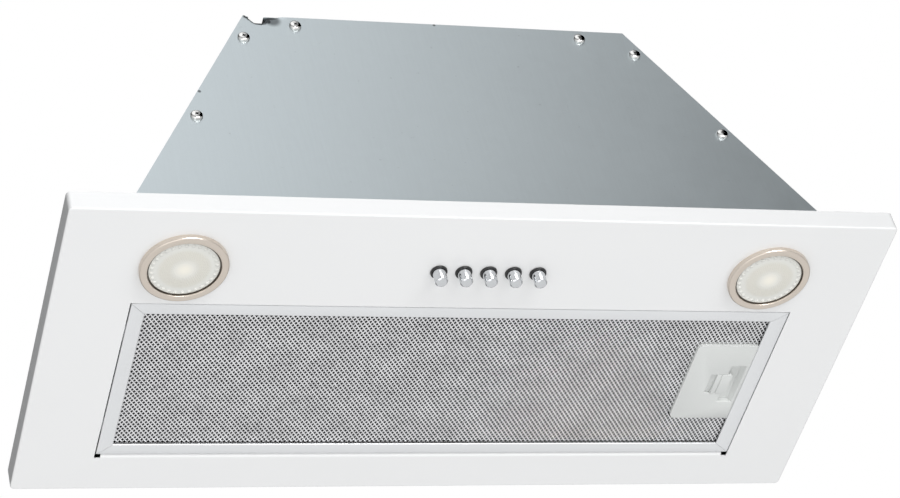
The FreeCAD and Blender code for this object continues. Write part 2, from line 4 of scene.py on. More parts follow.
import bmesh
import bpy
from mathutils import Euler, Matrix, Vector

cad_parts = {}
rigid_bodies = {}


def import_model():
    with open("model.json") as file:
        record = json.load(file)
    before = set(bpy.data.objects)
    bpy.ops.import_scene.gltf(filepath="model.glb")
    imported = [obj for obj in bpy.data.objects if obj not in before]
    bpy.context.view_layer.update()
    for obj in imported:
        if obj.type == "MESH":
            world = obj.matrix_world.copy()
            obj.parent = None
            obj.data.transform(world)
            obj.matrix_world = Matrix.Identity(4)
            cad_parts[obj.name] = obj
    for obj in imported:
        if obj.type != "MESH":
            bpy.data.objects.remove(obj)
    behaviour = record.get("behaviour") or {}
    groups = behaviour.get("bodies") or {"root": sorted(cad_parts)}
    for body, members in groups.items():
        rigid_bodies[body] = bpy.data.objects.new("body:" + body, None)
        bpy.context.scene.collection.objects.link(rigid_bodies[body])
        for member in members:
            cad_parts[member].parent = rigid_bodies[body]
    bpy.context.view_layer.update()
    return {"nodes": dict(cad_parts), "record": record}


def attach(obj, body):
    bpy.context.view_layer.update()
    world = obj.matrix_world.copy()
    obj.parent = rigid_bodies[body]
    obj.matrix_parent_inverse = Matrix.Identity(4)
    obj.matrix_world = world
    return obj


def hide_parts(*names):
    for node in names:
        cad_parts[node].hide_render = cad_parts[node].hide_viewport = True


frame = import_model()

# Sizes below are in millimetres, measured up from the underside of the face panel, as the maker
# draws them. place() turns them into the frame's metres.
MM = 0.001
CASING_HEIGHT = 187.0
CASING_FACE = 110.9
CASING_FOOT = 230.4
CASING_HEAD = 127.0
SHEET = 0.8
LAMP_X = 186.0
LAMP_Y = -77.2
LENS_R = 21.7
GROOVE_R = 21.15
GROOVE_WIDTH = 0.15


def place(x, y, up):
    """A maker's point in the frame's metres."""
    return Vector((x, y, up - CASING_HEIGHT)) * MM


def new_object(name, data):
    """An object in the scene for a mesh, a light or a camera."""
    thing = bpy.data.objects.new(name, data)
    bpy.context.scene.collection.objects.link(thing)
    return thing


# ------------------------------------------------------------------ shader arithmetic
class Flow:
    """A socket on its way to the shader. Arithmetic on it adds Math nodes to its finish."""

    def __init__(self, finish, socket):
        self.finish = finish
        self.socket = socket

    def math(self, operation, *values):
        return self.finish.node("ShaderNodeMath", {"operation": operation}, *values)

    def __add__(self, other):
        return self.math("ADD", self, other)

    def __radd__(self, other):
        return self.math("ADD", other, self)

    def __sub__(self, other):
        return self.math("SUBTRACT", self, other)

    def __rsub__(self, other):
        return self.math("SUBTRACT", other, self)

    def __mul__(self, other):
        return self.math("MULTIPLY", self, other)

    def __rmul__(self, other):
        return self.math("MULTIPLY", other, self)

    def root(self):
        return self.math("SQRT", self)

    def size(self):
        return self.math("ABSOLUTE", self)

    def sine(self):
        return self.math("SINE", self)

    def between(self, low, high, out_low=0.0, out_high=1.0):
        """Smooth step of this value from low..high to out_low..out_high."""
        settings = {"interpolation_type": "SMOOTHSTEP"}
        return self.finish.node("ShaderNodeMapRange", settings, self, low, high, out_low, out_high)


class Finish:
    """A procedural material for one of the hood's surfaces."""

    def __init__(self, name, roughness=0.4, metallic=0.0, **constants):
        self.material = bpy.data.materials.new(name)
        self.material.use_nodes = True
        self.tree = self.material.node_tree
        self.shader = self.tree.nodes["Principled BSDF"]
        self.shader.inputs["Roughness"].default_value = roughness
        self.shader.inputs["Metallic"].default_value = metallic
        for socket, value in constants.items():
            self.shader.inputs[socket.replace("_", " ")].default_value = value

    def node(self, kind, settings, *values, out=0, **named):
        """Add a node: settings first, then the values or links of its sockets."""
        added = self.tree.nodes.new(kind)
        for key, value in settings.items():
            setattr(added, key, value)
        slots = [(added.inputs[i], v) for i, v in enumerate(values)]
        slots += [(added.inputs[k.replace("_", " ")], v) for k, v in named.items()]
        for socket, value in slots:
            if isinstance(value, Flow):
                self.tree.links.new(value.socket, socket)
            elif value is not None:
                socket.default_value = value
        return Flow(self, added.outputs[out])

    def spot(self, centre=(0, 0, 0), stretch=(1, 1, 1)):
        """Object coordinates about a centre, in millimetres, stretched along the axes."""
        where = self.node("ShaderNodeTexCoord", {}, out=3)
        shift = self.node("ShaderNodeVectorMath", {"operation": "SUBTRACT"}, where, centre)
        scale = tuple(s / MM for s in stretch)
        return self.node("ShaderNodeVectorMath", {"operation": "MULTIPLY"}, shift, scale)

    def noise(self, where, scale, detail=3.0, rough=0.5):
        return self.node("ShaderNodeTexNoise", {}, Vector=where, Scale=scale, Detail=detail,
                         Roughness=rough)

    def cells(self, where, scale):
        """A colour drawn by chance for each cell of a cracked pattern."""
        return self.node("ShaderNodeTexVoronoi", {}, Vector=where, Scale=scale, out="Color")

    def axes(self, where):
        return [self.node("ShaderNodeSeparateXYZ", {}, where, out=i) for i in range(3)]

    def from_lamp_axis(self):
        """Distance from the nearer lamp's axis, in millimetres."""
        x, y, _ = self.axes(self.spot(centre=(0, LAMP_Y * MM, 0)))
        across = x.size() - LAMP_X
        return (across * across + y * y).root()

    def blend(self, share, first, second):
        """Colour between first and second by share."""
        pair = [c if isinstance(c, Flow) else (*c, 1.0) for c in (first, second)]
        mixed = self.tree.nodes.new("ShaderNodeMix")
        mixed.data_type = "RGBA"
        for socket, value in ((mixed.inputs[0], share), (mixed.inputs[6], pair[0]),
                              (mixed.inputs[7], pair[1])):
            if isinstance(value, Flow):
                self.tree.links.new(value.socket, socket)
            else:
                socket.default_value = value
        return Flow(self, mixed.outputs[2])

    def feed(self, socket, value):
        self.tree.links.new(value.socket, self.shader.inputs[socket])

    def relief(self, height, depth_mm):
        """Bump from a height field whose full swing is depth_mm."""
        bump = self.node("ShaderNodeBump", {}, Strength=1.0, Distance=depth_mm * MM,
                         Height=height)
        self.feed("Normal", bump)


def white_enamel():
    """Glossy stoved enamel, almost even, with the faintest orange peel."""
    f = Finish("white_enamel", Coat_Weight=1.0, Coat_Roughness=0.035, Coat_IOR=1.6)
    spot = f.spot()
    peel = f.noise(spot, 0.16, 2.0)
    cloud = f.noise(spot, 0.008, 3.0)
    f.feed("Base Color", f.blend(cloud, (0.815, 0.82, 0.82), (0.85, 0.85, 0.85)))
    f.feed("Roughness", 0.30 + 0.06 * peel)
    f.relief(peel, 0.006)
    return f.material


# Dark spots on the sheet: x, height, width, strength. The first two are small marks, one by the
# left edge and one by the top edge; the rest, round the cable notch and to its right, are painted
# shade along the curled rim.
MARK_AND_SHADE_SPOTS = ((-165.5, 115.0, 1.5, 0.8), (-2.0, 186.2, 1.3, 0.8), (-125.2, 186.0, 2.2, 0.7),
         (-123.2, 184.0, 2.4, 0.8), (-121.3, 181.8, 2.4, 0.8), (-119.2, 180.4, 2.4, 0.8),
         (-117.0, 180.1, 2.4, 0.8), (-114.8, 180.5, 2.5, 0.8), (-112.4, 182.3, 3.0, 0.7),
         (-108.6, 183.4, 7.0, 0.75))


def zinc_sheet():
    """Galvanised sheet: faint spangle, fine rolling lines, a few dull specks and marks, and painted
    shade along the cable notch's curled rim.
    """
    tint, mark_and_shade_tone = (0.60, 0.655, 0.675), (0.05, 0.055, 0.06)
    f = Finish("zinc_sheet", metallic=0.9)
    spot = f.spot()
    spangle = f.node("ShaderNodeSeparateColor", {}, f.cells(spot, 0.16))
    rolled = f.noise(f.spot(stretch=(1.0, 1.0, 0.04)), 0.8, 3.0)
    cloud = f.noise(spot, 0.012, 4.0)
    speck = f.noise(spot, 0.20, 2.0, 0.6).between(0.71, 0.78)
    tone = 0.12 * spangle + 0.38 * rolled + 0.5 * cloud
    body = f.blend(tone, tuple(0.93 * c for c in tint), tuple(1.05 * c for c in tint))
    marks_and_shade = None
    for x, up, wide, strength in MARK_AND_SHADE_SPOTS:
        across, _, high = f.axes(f.spot(centre=tuple(place(x, 0, up))))
        near = (across * across + high * high).root().between(0.4 * wide, wide, strength, 0.0)
        marks_and_shade = near if marks_and_shade is None else marks_and_shade + near
    # Darkens the two small marks, and paints shade along the notch's curled rim.
    body = f.blend(marks_and_shade, body, mark_and_shade_tone)
    f.feed("Base Color", f.blend(speck * 0.30, body, tuple(0.6 * c for c in tint)))
    f.feed("Roughness", 0.29 + 0.02 * spangle + 0.06 * cloud)
    f.relief(rolled + cloud, 0.006)
    return f.material


def bright_plate(name, tint, rough):
    """Bright plated steel with light handling marks."""
    f = Finish(name, metallic=1.0)
    spot = f.spot()
    haze = f.noise(spot, 0.6, 3.0)
    f.feed("Base Color", f.blend(haze, tuple(0.93 * c for c in tint), tint))
    f.feed("Roughness", rough + 0.08 * haze)
    f.relief(f.noise(spot, 3.0, 2.0), 0.004)
    return f.material


def satin_nickel():
    """Warm satin nickel, brushed round the lamp's own axis."""
    f = Finish("satin_bezel", metallic=1.0, Coat_Weight=0.2, Coat_Roughness=0.2)
    ringed = f.node("ShaderNodeTexNoise", {"noise_dimensions": "1D"}, W=f.from_lamp_axis(),
                    Scale=9.0, Detail=3.0)
    f.feed("Base Color", f.blend(ringed, (0.66, 0.585, 0.505), (0.78, 0.70, 0.62)))
    f.feed("Roughness", 0.26 + 0.10 * ringed)
    f.relief(ringed, 0.01)
    return f.material


def cream_lens():
    """Frosted lens, cooler towards the rim, with painted light in the middle (a lighter colour and
    a faint warm glow) and painted shade in the groove at its edge.
    """
    f = Finish("cream_lens", Coat_Weight=0.8, Coat_Roughness=0.08, Emission_Strength=0.05)
    radius = f.from_lamp_axis()
    groove = radius.between(GROOVE_R - 2 * GROOVE_WIDTH, GROOVE_R - GROOVE_WIDTH)
    # Painted light: the middle is lightened and given a faint warm glow.
    core = radius.between(0.5, 8.5, 1.0, 0.0)
    shade = radius.between(5.0, 10.0) - radius.between(13.5, 17.0)
    grain = f.noise(f.spot(), 1.4, 2.0)
    body = f.blend(shade, (0.74, 0.74, 0.70), (0.69, 0.675, 0.61))
    body = f.blend(core, body, (0.86, 0.83, 0.74))
    body = f.blend(grain * 0.15, body, (0.62, 0.60, 0.53))
    # Painted shade: the groove between the lens and the bezel is painted dark.
    f.feed("Base Color", f.blend(groove, body, (0.09, 0.075, 0.06)))
    f.feed("Emission Color", f.blend(core, (0.05, 0.05, 0.04), (1.0, 0.95, 0.82)))
    f.feed("Roughness", 0.22 + 0.2 * grain)
    f.relief(grain, 0.02)
    return f.material


def brushed_aluminium(name, along, tint=(0.86, 0.87, 0.88), rough=0.30):
    """Satin aluminium with fine lines along X, Y or neither."""
    f = Finish(name, metallic=0.7)
    stretch = {"x": (0.03, 1.0, 1.0), "y": (1.0, 0.03, 1.0), "": (1.0, 1.0, 1.0)}[along]
    lines = f.noise(f.spot(stretch=stretch), 2.2, 3.0)
    cloud = f.noise(f.spot(), 0.03, 2.0)
    f.feed("Base Color", f.blend(0.6 * lines + 0.4 * cloud, tuple(0.92 * c for c in tint), tint))
    f.feed("Roughness", rough + 0.12 * lines)
    f.relief(lines, 0.01)
    return f.material


def strand_metal():
    """Cut and stretched aluminium strands, uneven in tone."""
    f = Finish("mesh_aluminium", metallic=0.6)
    spot = f.spot()
    uneven = 0.5 * f.noise(spot, 0.5, 2.0) + 0.5 * f.noise(spot, 0.05, 2.0)
    f.feed("Base Color", f.blend(uneven.between(0.3, 0.7), (0.74, 0.74, 0.75), (0.92, 0.92, 0.93)))
    f.feed("Roughness", 0.32 + 0.2 * uneven)
    f.relief(f.noise(spot, 2.0, 2.0), 0.02)
    return f.material


def shaded_core_metal():
    """Inner filter layers: crossed wires, nearly in step with the face mesh, in painted shade: dim
    wires over gaps painted near black.
    """
    f = Finish("core_mesh", metallic=0.5)
    spot = f.spot()
    x, y, _ = f.axes(spot)
    one_way = (x * 2.02 + y * 1.62).sine()
    other_way = (x * 2.16 - y * 1.50).sine()
    crossed = (one_way * other_way).between(-0.1, 0.8)
    cloud = f.noise(spot, 0.06, 3.0)
    wires_in_painted_shade = crossed * (0.6 + 0.4 * cloud)
    # Painted shade: the wires are dimmed and the gaps between them painted near black, for the dark
    # inside of the filter.
    f.feed("Base Color", f.blend(wires_in_painted_shade, (0.015, 0.015, 0.017), (0.20, 0.20, 0.21)))
    f.feed("Roughness", 0.65 - 0.2 * crossed)
    f.relief(crossed, 0.25)
    return f.material


def moulded(name, tint, rough=0.45, grain=0.8, depth=0.02, coat=0.0):
    """Moulded plastic with a fine spark-eroded grain and slight shade drift."""
    f = Finish(name, Coat_Weight=coat, Coat_Roughness=0.15)
    spot = f.spot()
    fine = f.noise(spot, grain, 3.0)
    drift = f.noise(spot, 0.02, 2.0)
    f.feed("Base Color", f.blend(0.5 * fine + 0.5 * drift, tuple(0.93 * c for c in tint), tint))
    f.feed("Roughness", rough - 0.06 + 0.12 * fine)
    f.relief(fine, depth)
    return f.material


def motor_paint():
    """Dark stoved paint with a light orange peel."""
    tint = (0.16, 0.17, 0.18)
    f = Finish("motor_shell", Coat_Weight=0.2, Coat_Roughness=0.2)
    spot = f.spot()
    peel = f.noise(spot, 0.5, 2.0)
    f.feed("Base Color", f.blend(peel, tuple(0.9 * c for c in tint), tint))
    f.feed("Roughness", 0.4 + 0.1 * peel)
    f.relief(peel, 0.03)
    return f.material


FINISHES = {
    "white_enamel": white_enamel(),
    "zinc_sheet": zinc_sheet(),
    "bright_screws": bright_plate("bright_screws", (0.82, 0.81, 0.79), 0.16),
    "recess_shade": moulded("recess_shade", (0.035, 0.034, 0.033), 0.5),
    "chrome_caps": bright_plate("chrome_caps", (0.70, 0.715, 0.73), 0.05),
    "steel_pin": bright_plate("steel_pin", (0.62, 0.62, 0.62), 0.28),
    "satin_bezel": satin_nickel(),
    "cream_lens": cream_lens(),
    "filter_aluminium": brushed_aluminium("rail_aluminium_x", "x"),
    "rail_aluminium_y": brushed_aluminium("rail_aluminium_y", "y"),
    "lamp_shell": brushed_aluminium("lamp_shell", "", (0.55, 0.56, 0.57), 0.45),
    "mesh_aluminium": strand_metal(),
    "core_mesh": shaded_core_metal(),
    "pale_plastic": moulded("pale_plastic", (0.69, 0.705, 0.69), 0.42, 0.9, 0.012, 0.1),
    "black_plastic": moulded("black_plastic", (0.010, 0.010, 0.011), 0.30, 0.9, 0.008, 0.15),
    "grey_plastic": moulded("grey_plastic", (0.34, 0.35, 0.36), 0.5),
    "fan_plastic": moulded("fan_plastic", (0.09, 0.09, 0.10), 0.42),
    "capacitor_shell": moulded("capacitor_shell", (0.78, 0.78, 0.75), 0.3, 0.8, 0.01, 0.3),
    "terminal_plastic": moulded("terminal_plastic", (0.76, 0.73, 0.62), 0.35),
    "black_rubber": moulded("black_rubber", (0.03, 0.03, 0.03), 0.7, 0.6, 0.03),
    "lead_sleeve": moulded("lead_sleeve", (0.50, 0.50, 0.49), 0.5, 0.7, 0.02),
    "motor_shell": motor_paint(),
}


# ------------------------------------------------------------------ mesh helpers
SOFT_EDGE = 40.0


def shade(mesh, angle):
    """Shade a mesh smooth, but for edges sharper than an angle in degrees."""
    mesh.shade_smooth()
    mesh.set_sharp_from_angle(angle=math.radians(angle))


def piece_from(name, points, faces, finish, smooth):
    """A mesh object from millimetre points; smooth is the largest angle shaded as one surface."""
    mesh = bpy.data.meshes.new(name)
    mesh.from_pydata([place(*p) for p in points], [], faces)
    mesh.validate()
    mesh.update()
    mesh.materials.append(FINISHES[finish])
    if smooth:
        shade(mesh, smooth)
    return new_object(name, mesh)


def pattern_from(name, points, faces):
    """A small part about the origin, in millimetres, for a node layout to repeat."""
    mesh = bpy.data.meshes.new(name)
    mesh.from_pydata([Vector(p) * MM for p in points], [], faces)
    return new_object(name, mesh)


def turned_mesh(profile, x, y, steps):
    """Points and faces of a closed shape turned about the upright axis through x, y.
    profile runs from the axis round the section and back to the axis, or is a closed loop."""
    points = []
    rings = []
    for r, up in profile:
        if r < 1e-6:
            rings.append([len(points)])
            points.append((x, y, up))
            continue
        rings.append(list(range(len(points), len(points) + steps)))
        for k in range(steps):
            a = 2 * math.pi * k / steps
            points.append((x + r * math.cos(a), y + r * math.sin(a), up))
    pairs = list(zip(rings[:-1], rings[1:]))
    if len(rings[0]) > 1:
        pairs.append((rings[-1], rings[0]))
    faces = []
    for low, high in pairs:
        for k in range(steps):
            n = (k + 1) % steps
            if len(low) == 1:
                faces.append((low[0], high[n], high[k]))
            elif len(high) == 1:
                faces.append((low[k], low[n], high[0]))
            else:
                faces.append((low[k], low[n], high[n], high[k]))
    return points, faces


def arc(cx, cz, r, start, end, steps):
    """Points of a section's rounded corner."""
    spots = []
    for k in range(steps + 1):
        a = math.radians(start + (end - start) * k / steps)
        spots.append((cx + r * math.cos(a), cz + r * math.sin(a)))
    return spots


def settled(thing, smooth=0.0):
    """The evaluated mesh of an object as a plain mesh, with its modifiers gone."""
    view = bpy.context.evaluated_depsgraph_get()
    mesh = bpy.data.meshes.new_from_object(thing.evaluated_get(view))
    mesh.name = thing.name
    thing.modifiers.clear()
    thing.data = mesh
    if smooth:
        shade(mesh, smooth)
    return thing


def one_piece(name, things):
    """Join several objects' meshes into one new object."""
    points = []
    faces = []
    marks = []
    finishes = []
    for thing in things:
        base = len(points)
        points += [v.co.copy() for v in thing.data.vertices]
        for face in thing.data.polygons:
            faces.append(tuple(base + i for i in face.vertices))
            own = thing.data.materials[face.material_index]
            if own not in finishes:
                finishes.append(own)
            marks.append((finishes.index(own), face.use_smooth))
    mesh = bpy.data.meshes.new(name)
    mesh.from_pydata(points, [], faces)
    for own in finishes:
        mesh.materials.append(own)
    for face, (index, smooth) in zip(mesh.polygons, marks):
        face.material_index = index
        face.use_smooth = smooth
    mesh.update()
    mesh.set_sharp_from_angle(angle=math.radians(SOFT_EDGE))
    for thing in things:
        bpy.data.objects.remove(thing)
    return new_object(name, mesh)


def stand_for(thing, body, slot, *nodes):
    """Put a finished piece on its body in place of its CAD nodes."""
    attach(thing, body)
    if nodes:
        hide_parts(*nodes)
    return thing


# ------------------------------------------------------------------ geometry node helpers
class Layout:
    """A Geometry Nodes tree with named inputs that ends in Realize Instances and Set Material."""

    def __init__(self, name, sizes):
        self.tree = bpy.data.node_groups.new(name, "GeometryNodeTree")
        face = self.tree.interface
        face.new_socket("Geometry", in_out="INPUT", socket_type="NodeSocketGeometry")
        self.ids = {}
        for label, (kind, value) in sizes.items():
            socket = face.new_socket(label, in_out="INPUT", socket_type="NodeSocket" + kind)
            if value is not None:
                socket.default_value = value
            self.ids[label] = socket.identifier
        face.new_socket("Geometry", in_out="OUTPUT", socket_type="NodeSocketGeometry")
        self.source = self.tree.nodes.new("NodeGroupInput")

    def given(self, label):
        return self.source.outputs[label]

    def node(self, kind, settings, *values, out=0, **named):
        added = self.tree.nodes.new(kind)
        for key, value in settings.items():
            setattr(added, key, value)
        slots = [(added.inputs[i], v) for i, v in enumerate(values)]
        slots += [(added.inputs[k.replace("_", " ")], v) for k, v in named.items()]
        for socket, value in slots:
            if isinstance(value, bpy.types.NodeSocket):
                self.tree.links.new(value, socket)
            elif value is not None:
                socket.default_value = value
        return added.outputs[out]

    def math(self, operation, *values):
        return self.node("ShaderNodeMath", {"operation": operation}, *values)

    def random(self, low, high):
        """A number for each copy, from the tree's own fixed seed."""
        chance = self.tree.nodes.new("FunctionNodeRandomValue")
        for socket, value in ((2, low), (3, high), (8, self.given("Seed"))):
            if isinstance(value, bpy.types.NodeSocket):
                self.tree.links.new(value, chance.inputs[socket])
            else:
                chance.inputs[socket].default_value = value
        return chance.outputs[1]

    def close(self, geometry):
        real = self.node("GeometryNodeRealizeInstances", {}, geometry)
        coated = self.node("GeometryNodeSetMaterial", {}, Geometry=real,
                           Material=self.given("Finish"))
        end = self.tree.nodes.new("NodeGroupOutput")
        self.tree.links.new(coated, end.inputs[0])

    def run(self, thing, **values):
        """Apply the tree to an object with the given sizes and keep the plain mesh."""
        modifier = thing.modifiers.new("layout", "NODES")
        modifier.node_group = self.tree
        for label, value in values.items():
            modifier[self.ids[label.replace("_", " ")]] = value
        return settled(thing)


def blank(name, points=()):
    """An object whose mesh is only points, as a start for a node layout."""
    mesh = bpy.data.meshes.new(name)
    mesh.from_pydata(list(points), [], [])
    return new_object(name, mesh)


def build_mesh_layout():
    """Expanded mesh: forked strands on a staggered lattice that fills a rectangle."""
    lay = Layout("expanded_mesh", {
        "Strand": ("Object", None), "Columns": ("Int", 10), "Rows": ("Int", 10),
        "Pitch X": ("Float", 0.003), "Pitch Y": ("Float", 0.002),
        "Corner": ("Vector", (0.0, 0.0, 0.0)),
        "Gap low": ("Vector", (0.0, 0.0, 0.0)), "Gap high": ("Vector", (0.0, 0.0, 0.0)),
        "Unevenness": ("Float", 0.0), "Seed": ("Int", 7), "Finish": ("Material", None)})
    columns = lay.given("Columns")
    total = lay.math("MULTIPLY", columns, lay.given("Rows"))
    points = lay.node("GeometryNodePoints", {}, Count=total)
    index = lay.node("GeometryNodeInputIndex", {})
    row = lay.math("FLOOR", lay.math("DIVIDE", lay.math("ADD", index, 0.5), columns))
    column = lay.math("SUBTRACT", index, lay.math("MULTIPLY", row, columns))
    shift = lay.math("MULTIPLY", lay.math("MODULO", row, 2.0), 0.5)
    x = lay.math("MULTIPLY", lay.math("ADD", column, shift), lay.given("Pitch X"))
    y = lay.math("MULTIPLY", row, lay.given("Pitch Y"))
    flat = lay.node("ShaderNodeCombineXYZ", {}, x, y)
    where = lay.node("ShaderNodeVectorMath", {"operation": "ADD"}, flat, lay.given("Corner"))
    points = lay.node("GeometryNodeSetPosition", {}, Geometry=points, Position=where)
    spot = lay.node("GeometryNodeInputPosition", {})
    inside = None
    for axis in range(2):
        value = lay.node("ShaderNodeSeparateXYZ", {}, spot, out=axis)
        low = lay.node("ShaderNodeSeparateXYZ", {}, lay.given("Gap low"), out=axis)
        high = lay.node("ShaderNodeSeparateXYZ", {}, lay.given("Gap high"), out=axis)
        both = lay.math("MULTIPLY", lay.math("GREATER_THAN", value, low),
                        lay.math("LESS_THAN", value, high))
        inside = both if inside is None else lay.math("MULTIPLY", inside, both)
    points = lay.node("GeometryNodeDeleteGeometry", {"domain": "POINT"}, Geometry=points,
                      Selection=inside)
    shape = lay.node("GeometryNodeObjectInfo", {}, lay.given("Strand"), out="Geometry")
    rough = lay.given("Unevenness")
    tilt = lay.random(lay.math("MULTIPLY", rough, -1.0), rough)
    turn = lay.node("ShaderNodeCombineXYZ", {}, tilt, 0.0, 0.0)
    copies = lay.node("GeometryNodeInstanceOnPoints", {}, Points=points, Instance=shape,
                      Rotation=turn)
    lay.close(copies)
    return lay


def build_scatter_layout():
    """Copies of a small part on given points, each turned about its own axis at random."""
    lay = Layout("small_parts", {
        "Part": ("Object", None), "Aim": ("Rotation", (0.0, 0.0, 0.0)),
        "Seed": ("Int", 3), "Finish": ("Material", None)})
    shape = lay.node("GeometryNodeObjectInfo", {}, lay.given("Part"), out="Geometry")
    copies = lay.node("GeometryNodeInstanceOnPoints", {}, Points=lay.given("Geometry"),
                      Instance=shape, Rotation=lay.given("Aim"))
    spin = lay.random(0.0, 6.283)
    about = lay.node("ShaderNodeCombineXYZ", {}, 0.0, 0.0, spin)
    copies = lay.node("GeometryNodeRotateInstances", {}, copies, Rotation=about)
    lay.close(copies)
    return lay


def build_bead_layout():
    """A ring of small round beads on a lens."""
    lay = Layout("lens_beads", {
        "Ring radius": ("Float", 0.02), "Beads": ("Int", 40), "Bead radius": ("Float", 0.001),
        "Flatness": ("Float", 0.5), "Centre": ("Vector", (0.0, 0.0, 0.0)),
        "Finish": ("Material", None)})
    ring = lay.node("GeometryNodeMeshCircle", {}, Vertices=lay.given("Beads"),
                    Radius=lay.given("Ring radius"))
    bead = lay.node("GeometryNodeMeshUVSphere", {}, Segments=8, Rings=6,
                    Radius=lay.given("Bead radius"))
    squash = lay.node("ShaderNodeCombineXYZ", {}, 1.0, 1.0, lay.given("Flatness"))
    bead = lay.node("GeometryNodeTransform", {}, Geometry=bead, Scale=squash)
    beads = lay.node("GeometryNodeInstanceOnPoints", {}, Points=ring, Instance=bead)
    beads = lay.node("GeometryNodeTransform", {}, Geometry=beads, Translation=lay.given("Centre"))
    beads = lay.node("GeometryNodeRealizeInstances", {}, beads)
    beads = lay.node("GeometryNodeSetShadeSmooth", {}, beads)
    lay.close(beads)
    return lay


MESH_LAYOUT = build_mesh_layout()
SCATTER_LAYOUT = build_scatter_layout()
BEAD_LAYOUT = build_bead_layout()


# ------------------------------------------------------------------ carried-over CAD nodes
NODE_SLOTS = {entry["node"]: entry["material_slot"] for entry in frame["record"]["subparts"]}
WELD_MM = 0.002
FLAT_WITHIN = 1.0


def dress_cad_nodes():
    """Give every CAD node the finish of its material slot."""
    for node_name, node in frame["nodes"].items():
        node.data.materials.clear()
        node.data.materials.append(FINISHES[NODE_SLOTS[node_name]])


def soften(node_name, body, width):
    """A copy of a CAD node whose sharp edges are rounded by width."""
    shape = bmesh.new()
    shape.from_mesh(frame["nodes"][node_name].data)
    bmesh.ops.remove_doubles(shape, verts=shape.verts, dist=WELD_MM * MM)
    bmesh.ops.dissolve_limit(shape, angle_limit=math.radians(FLAT_WITHIN), verts=shape.verts,
                             edges=shape.edges)
    mesh = bpy.data.meshes.new(node_name + "_soft")
    shape.to_mesh(mesh)
    shape.free()
    mesh.materials.clear()
    mesh.materials.append(FINISHES[NODE_SLOTS[node_name]])
    copy = new_object(node_name + "_soft", mesh)
    edge = copy.modifiers.new("edge", "BEVEL")
    edge.width = width * MM
    edge.segments = 3
    edge.limit_method = "ANGLE"
    edge.angle_limit = math.radians(SOFT_EDGE)
    return stand_for(settled(copy, SOFT_EDGE), body, NODE_SLOTS[node_name], node_name)


dress_cad_nodes()
soften("latch_plate", "filter", 0.5)
soften("latch_bolt", "latch", 0.3)


# ------------------------------------------------------------------ screws
SCREW_STEPS = 32
SHEET_SCREWS = ((94.8, 178.8), (129.9, 165.9), (170.6, 93.0))
SHEET_HEAD = (3.9, 2.5)
SPIGOT_SCREW = 66.0
SPIGOT_PLATE = 2.0
SPIGOT_HEAD = (3.4, 2.2)


def ring(up, radius_at):
    """Points round the upright axis; radius_at gives the radius at an angle."""
    angles = [2 * math.pi * k / SCREW_STEPS for k in range(SCREW_STEPS)]
    return [(radius_at(a) * math.cos(a), radius_at(a) * math.sin(a), up) for a in angles]


def recess_radius(head_r, a):
    """Radius of the cross recess's outline at angle a."""
    core, reach, arm_start = 0.24, 0.16, 0.72
    arm = max(0.0, (abs(math.cos(2 * a)) - arm_start) / (1.0 - arm_start))
    return head_r * (core + reach * arm ** 0.6)


def screw_pattern(head_r, head_h):
    """Pan head screw, head up, seat at zero, with a cross recess."""
    shank_r, shank_low = 0.42 * head_r, -3.0
    outline = [(shank_r, shank_low), (shank_r, 0.0), (head_r, 0.0), (head_r, 0.25 * head_h),
               (0.95 * head_r, 0.50 * head_h), (0.84 * head_r, 0.74 * head_h),
               (0.66 * head_r, 0.86 * head_h)]
    points = [(0.0, 0.0, shank_low)]
    for r, up in outline:
        points += ring(up, lambda a: r)
    for share, up in ((1.0, 0.90 * head_h), (0.82, 0.35 * head_h)):
        points += ring(up, lambda a: recess_radius(head_r, a) * share)
    points.append((0.0, 0.0, 0.30 * head_h))
    faces = []
    last = len(points) - 1 - SCREW_STEPS
    for k in range(SCREW_STEPS):
        n = (k + 1) % SCREW_STEPS
        faces.append((0, 1 + n, 1 + k))
        for low in range(1, last, SCREW_STEPS):
            high = low + SCREW_STEPS
            faces.append((low + k, low + n, high + n, high + k))
        faces.append((last + k, last + n, len(points) - 1))
    thing = pattern_from("screw_pattern", points, faces)
    shade(thing.data, 38.0)
    return thing


def recess_pattern(head_r, head_h):
    """The shaded pit of the cross recess, a shallow cone inside its outline."""
    points = [(0.0, 0.0, 0.40 * head_h)]
    points += ring(0.88 * head_h, lambda a: recess_radius(head_r, a) * 0.98)
    faces = [(0, 1 + k, 1 + (k + 1) % SCREW_STEPS) for k in range(SCREW_STEPS)]
    return pattern_from("recess_pattern", points, faces)


def screw_row(name, spots, aim, head, seed):
    """All screws of one kind as a single piece; aim turns the head's axis from +Z."""
    rows = []
    for pattern, finish in ((screw_pattern(*head), "bright_screws"),
                            (recess_pattern(*head), "recess_shade")):
        row = blank(name, [place(*s) for s in spots])
        SCATTER_LAYOUT.run(row, Part=pattern, Aim=aim, Seed=seed, Finish=FINISHES[finish])
        bpy.data.objects.remove(pattern)
        rows.append(row)
    return stand_for(one_piece(name + "_row", rows), "hood", "bright_screws", name)


def add_screws():
    """Six screws in each end sheet and four in the duct outlet's plate."""
    quarter = math.pi / 2
    both_sides = [(side * x, up) for x, up in SHEET_SCREWS for side in (-1, 1)]
    screw_row("front_sheet_screws", [(x, -CASING_FACE, up) for x, up in both_sides],
              (quarter, 0.0, 0.0), SHEET_HEAD, 3)
    screw_row("rear_sheet_screws", [(x, CASING_FACE, up) for x, up in both_sides],
              (-quarter, 0.0, 0.0), SHEET_HEAD, 5)
    corners = [(sx * SPIGOT_SCREW, sy * SPIGOT_SCREW, CASING_HEIGHT + SPIGOT_PLATE)
               for sx in (-1, 1) for sy in (-1, 1)]
    screw_row("spigot_screws", corners, (0.0, 0.0, 0.0), SPIGOT_HEAD, 8)


add_screws()


